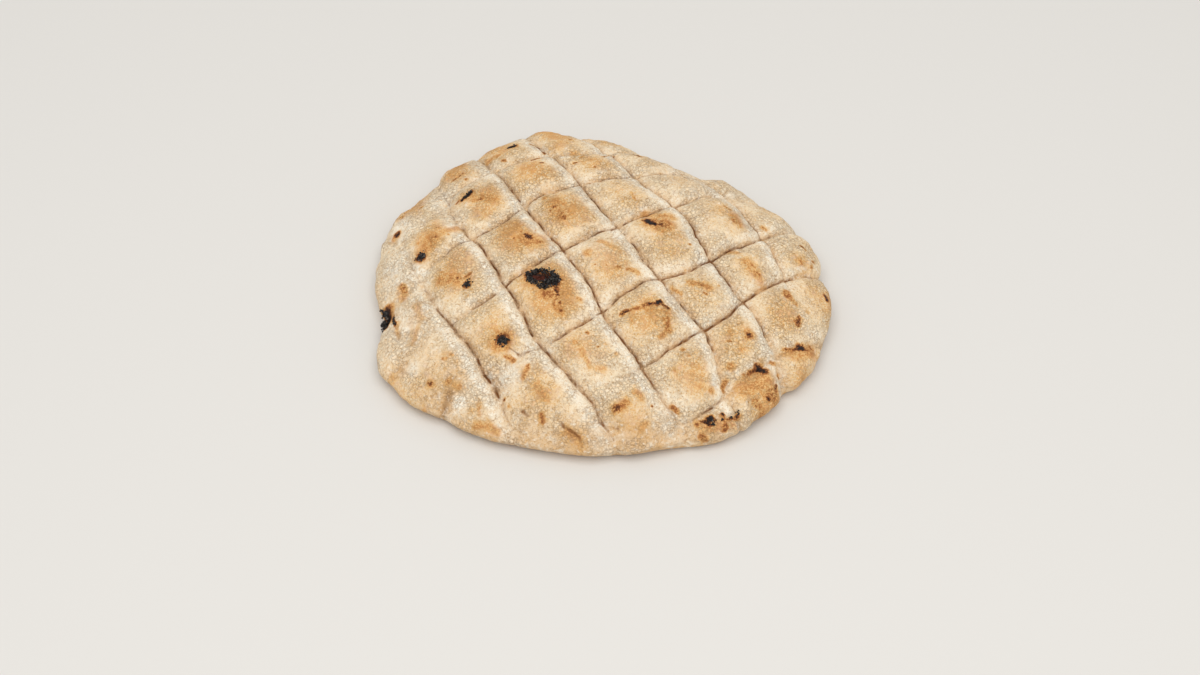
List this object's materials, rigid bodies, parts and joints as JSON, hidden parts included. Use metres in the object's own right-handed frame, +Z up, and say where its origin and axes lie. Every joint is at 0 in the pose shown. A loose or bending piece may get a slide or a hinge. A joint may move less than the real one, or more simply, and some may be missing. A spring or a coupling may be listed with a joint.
{
  "type": "somun bread",
  "caption": "Round domed flatbread, scored in a lattice of soft pillows before baking, lying on its flat base.",
  "frame": {"origin": "middle of the flat base, under the middle of the bread's outline, on the surface it lies on", "axes": "+X along the longest extent, to the right in the picture; +Y away from the camera; +Z up, the shortest extent"},
  "size_m": [0.2036, 0.187, 0.033],
  "materials": {
    "crust": "dry floured crust, cream with golden brown patches and small burnt spots"
  },
  "bodies": {
    "root": {"somun_bread": "crust"}
  },
  "joints": []
}
